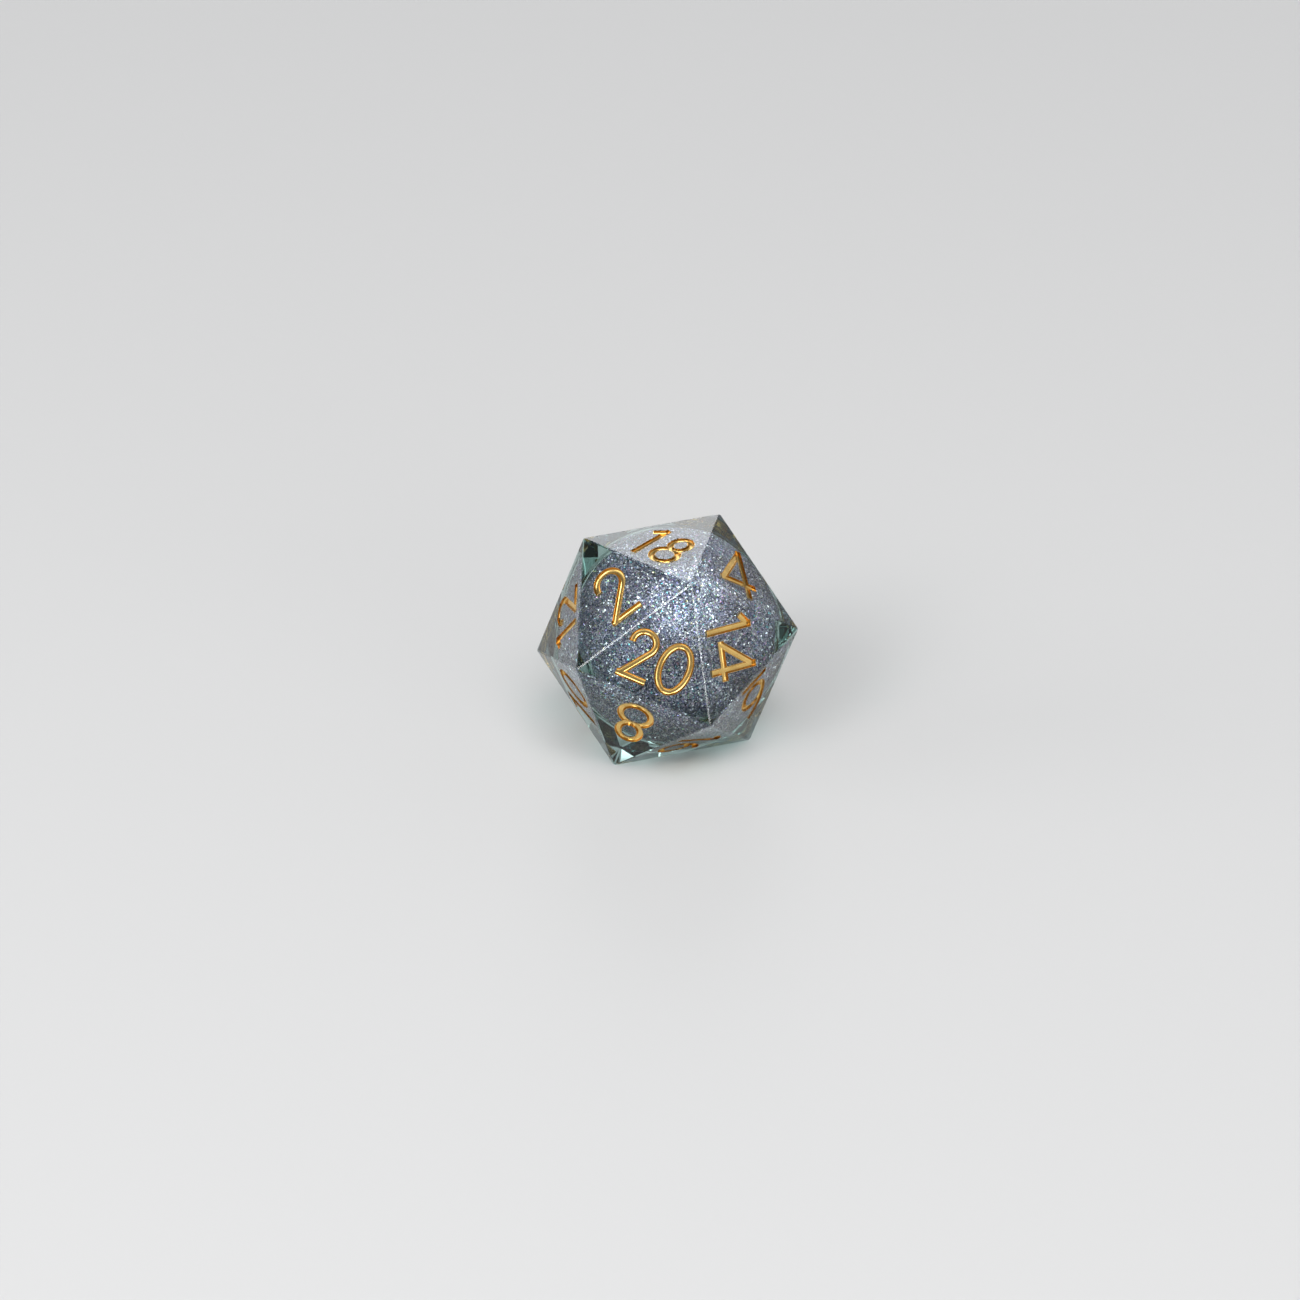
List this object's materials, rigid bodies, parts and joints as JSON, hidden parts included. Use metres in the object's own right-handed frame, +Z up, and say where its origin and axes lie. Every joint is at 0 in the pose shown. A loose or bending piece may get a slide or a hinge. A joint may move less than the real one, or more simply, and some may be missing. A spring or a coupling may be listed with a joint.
{
  "type": "polyhedral die",
  "caption": "Clear sharp-edged icosahedral die with a sealed ball of swirling glitter liquid inside and engraved numerals lined with gold paint.",
  "frame": {"origin": "middle of the face that the die stands on, which reads 3", "axes": "+Z up through the face that reads 18, +X to the corner between the faces that read 4, 6, 9, 11 and 14"},
  "size_m": [0.027, 0.0234, 0.022],
  "materials": {
    "clear_resin": "clear polished epoxy resin with sharp edges",
    "ball_plastic": "clear moulded plastic",
    "glitter_liquid": "slate blue liquid full of fine holographic silver glitter",
    "gold_paint": "metallic gold paint, dried as a film in the engraved grooves"
  },
  "bodies": {
    "die": {"lower_casting": "clear_resin", "upper_casting": "clear_resin", "core_lower_half": "ball_plastic", "core_upper_half": "ball_plastic", "fill_plug": "ball_plastic", "digit_1": "gold_paint", "digit_2": "gold_paint", "digit_3": "gold_paint", "digit_4": "gold_paint", "digit_5": "gold_paint", "digit_6": "gold_paint", "digit_7": "gold_paint", "digit_8": "gold_paint", "digit_9": "gold_paint", "digit_10_tens": "gold_paint", "digit_10_units": "gold_paint", "digit_11_tens": "gold_paint", "digit_11_units": "gold_paint", "digit_12_tens": "gold_paint", "digit_12_units": "gold_paint", "digit_13_tens": "gold_paint", "digit_13_units": "gold_paint", "digit_14_tens": "gold_paint", "digit_14_units": "gold_paint", "digit_15_tens": "gold_paint", "digit_15_units": "gold_paint", "digit_16_tens": "gold_paint", "digit_16_units": "gold_paint", "digit_17_tens": "gold_paint", "digit_17_units": "gold_paint", "digit_18_tens": "gold_paint", "digit_18_units": "gold_paint", "digit_19_tens": "gold_paint", "digit_19_units": "gold_paint", "digit_20_tens": "gold_paint", "digit_20_units": "gold_paint", "underline_6": "gold_paint", "underline_9": "gold_paint"},
    "liquid": {"glitter_liquid": "glitter_liquid"}
  },
  "joints": [
    {"name": "liquid_swirl", "type": "hinge", "parent": "die", "child": "liquid", "pos_m": [0.0006, 0.0008, 0.0114], "axis": [0, 0, 1], "continuous": true}
  ]
}
